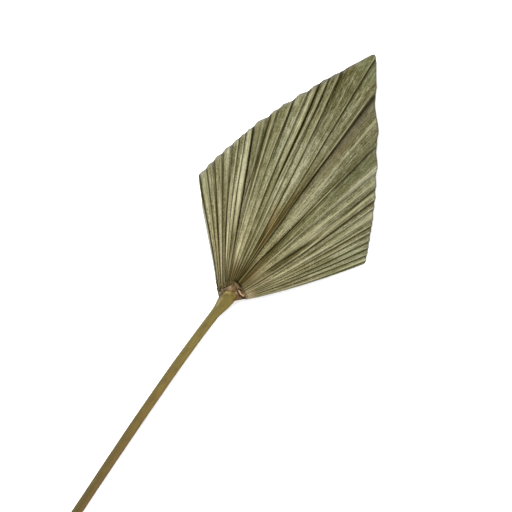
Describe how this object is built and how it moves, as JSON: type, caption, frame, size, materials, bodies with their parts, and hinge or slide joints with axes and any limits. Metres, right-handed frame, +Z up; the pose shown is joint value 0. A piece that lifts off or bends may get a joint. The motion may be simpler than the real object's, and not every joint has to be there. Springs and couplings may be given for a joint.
{
  "type": "fan palm leaf",
  "caption": "Dried fan palm leaf trimmed to a pointed spear, its blade pleated from a rimmed hub at the end of a slender bare stalk, lying face up.",
  "frame": {"origin": "middle of the leaf's box, on the surface it lies on", "axes": "+X along the leaf from the stalk's cut end to the blade's tip, +Y to the blade's left margin seen from above, +Z up"},
  "size_m": [0.5, 0.1694, 0.0132],
  "materials": {
    "blade": "dry matt leaf, grey-green with pale ridges and dark olive folds",
    "hastula": "dry matt, brown with a pale pinkish crest",
    "petiole": "dry satin stalk, ochre near the blade and browner towards its cut end"
  },
  "bodies": {
    "root": {"blade": "blade", "hastula": "hastula", "petiole": "petiole"}
  },
  "joints": []
}
